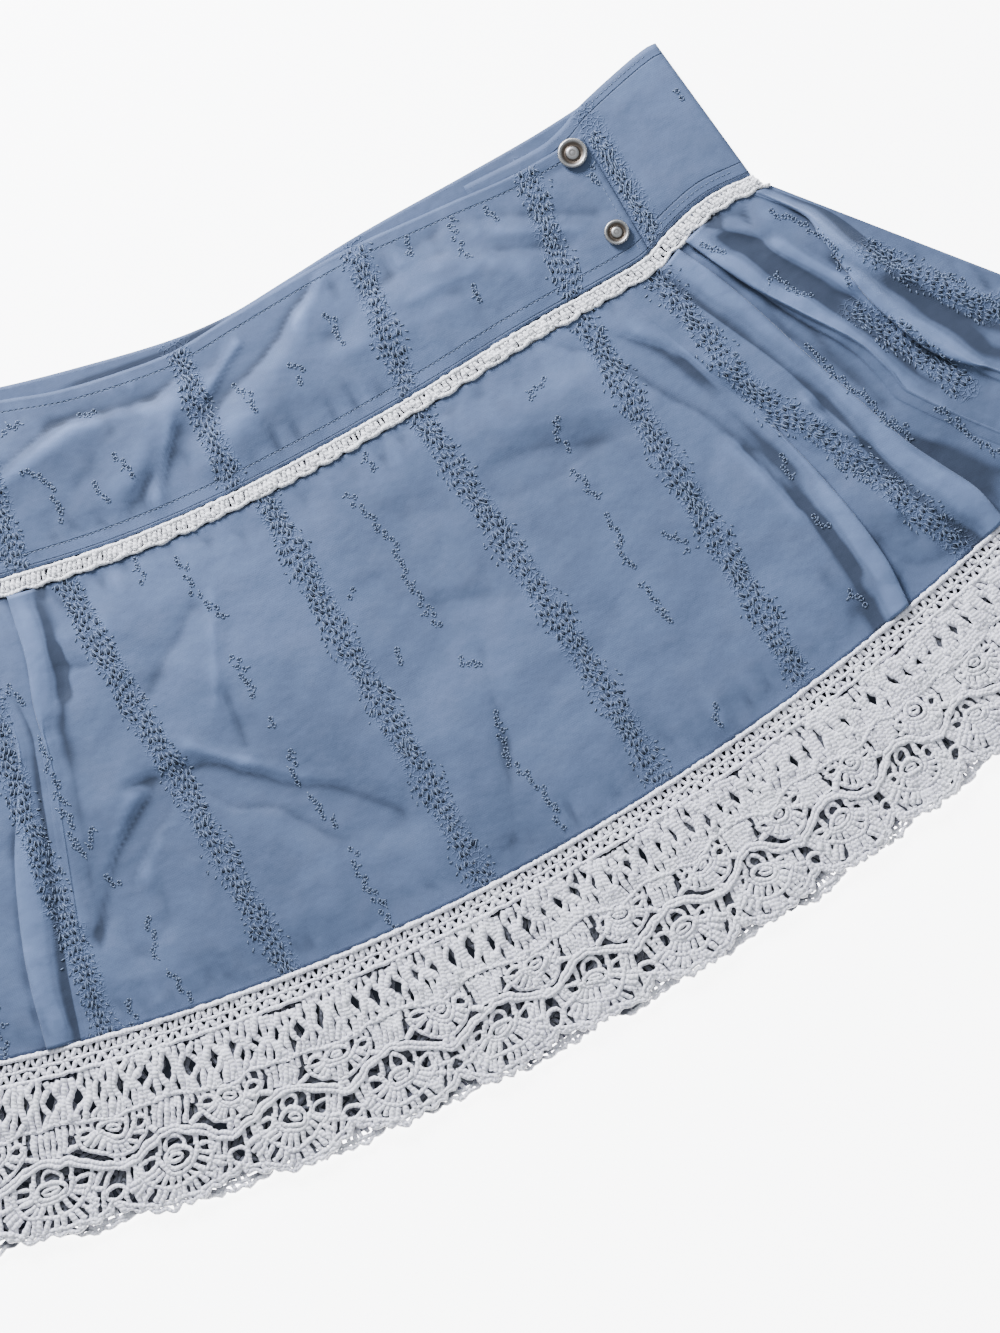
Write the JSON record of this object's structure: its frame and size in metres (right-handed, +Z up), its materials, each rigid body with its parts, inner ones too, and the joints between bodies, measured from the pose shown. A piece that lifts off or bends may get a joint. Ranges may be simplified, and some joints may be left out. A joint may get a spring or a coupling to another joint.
{
  "type": "eyelet skirt with crochet lace hem",
  "caption": "Flared cotton eyelet skirt laid flat, with a hip yoke that wraps over and snaps at the side, soft pleats, a crochet edging in the yoke seam and a deep scalloped crochet lace hem.",
  "frame": {"origin": "middle of the skirt's footprint on the surface it lies on", "axes": "+X along the hem to the right as seen from above with the waist away from the viewer, +Y from the hem to the waist, +Z up off the surface"},
  "size_m": [0.8342, 0.429, 0.0098],
  "materials": {
    "eyelet_cloth": "light blue cotton with a faint sheen, woven with embroidered eyelet strips in the same blue",
    "crochet_edging": "matte off-white crochet cotton, fine",
    "crochet_lace": "matte bluish white crochet cotton, thick yarn",
    "snap_metal": "antique nickel, worn brown in the ring"
  },
  "bodies": {
    "root": {"yoke_front": "eyelet_cloth", "yoke_side": "eyelet_cloth", "yoke_back": "eyelet_cloth", "skirt_front": "eyelet_cloth", "skirt_back": "eyelet_cloth", "edging_front": "crochet_edging", "edging_back": "crochet_edging", "lace_front": "crochet_lace", "lace_back": "crochet_lace", "snap_upper": "snap_metal", "snap_lower": "snap_metal"}
  },
  "joints": []
}
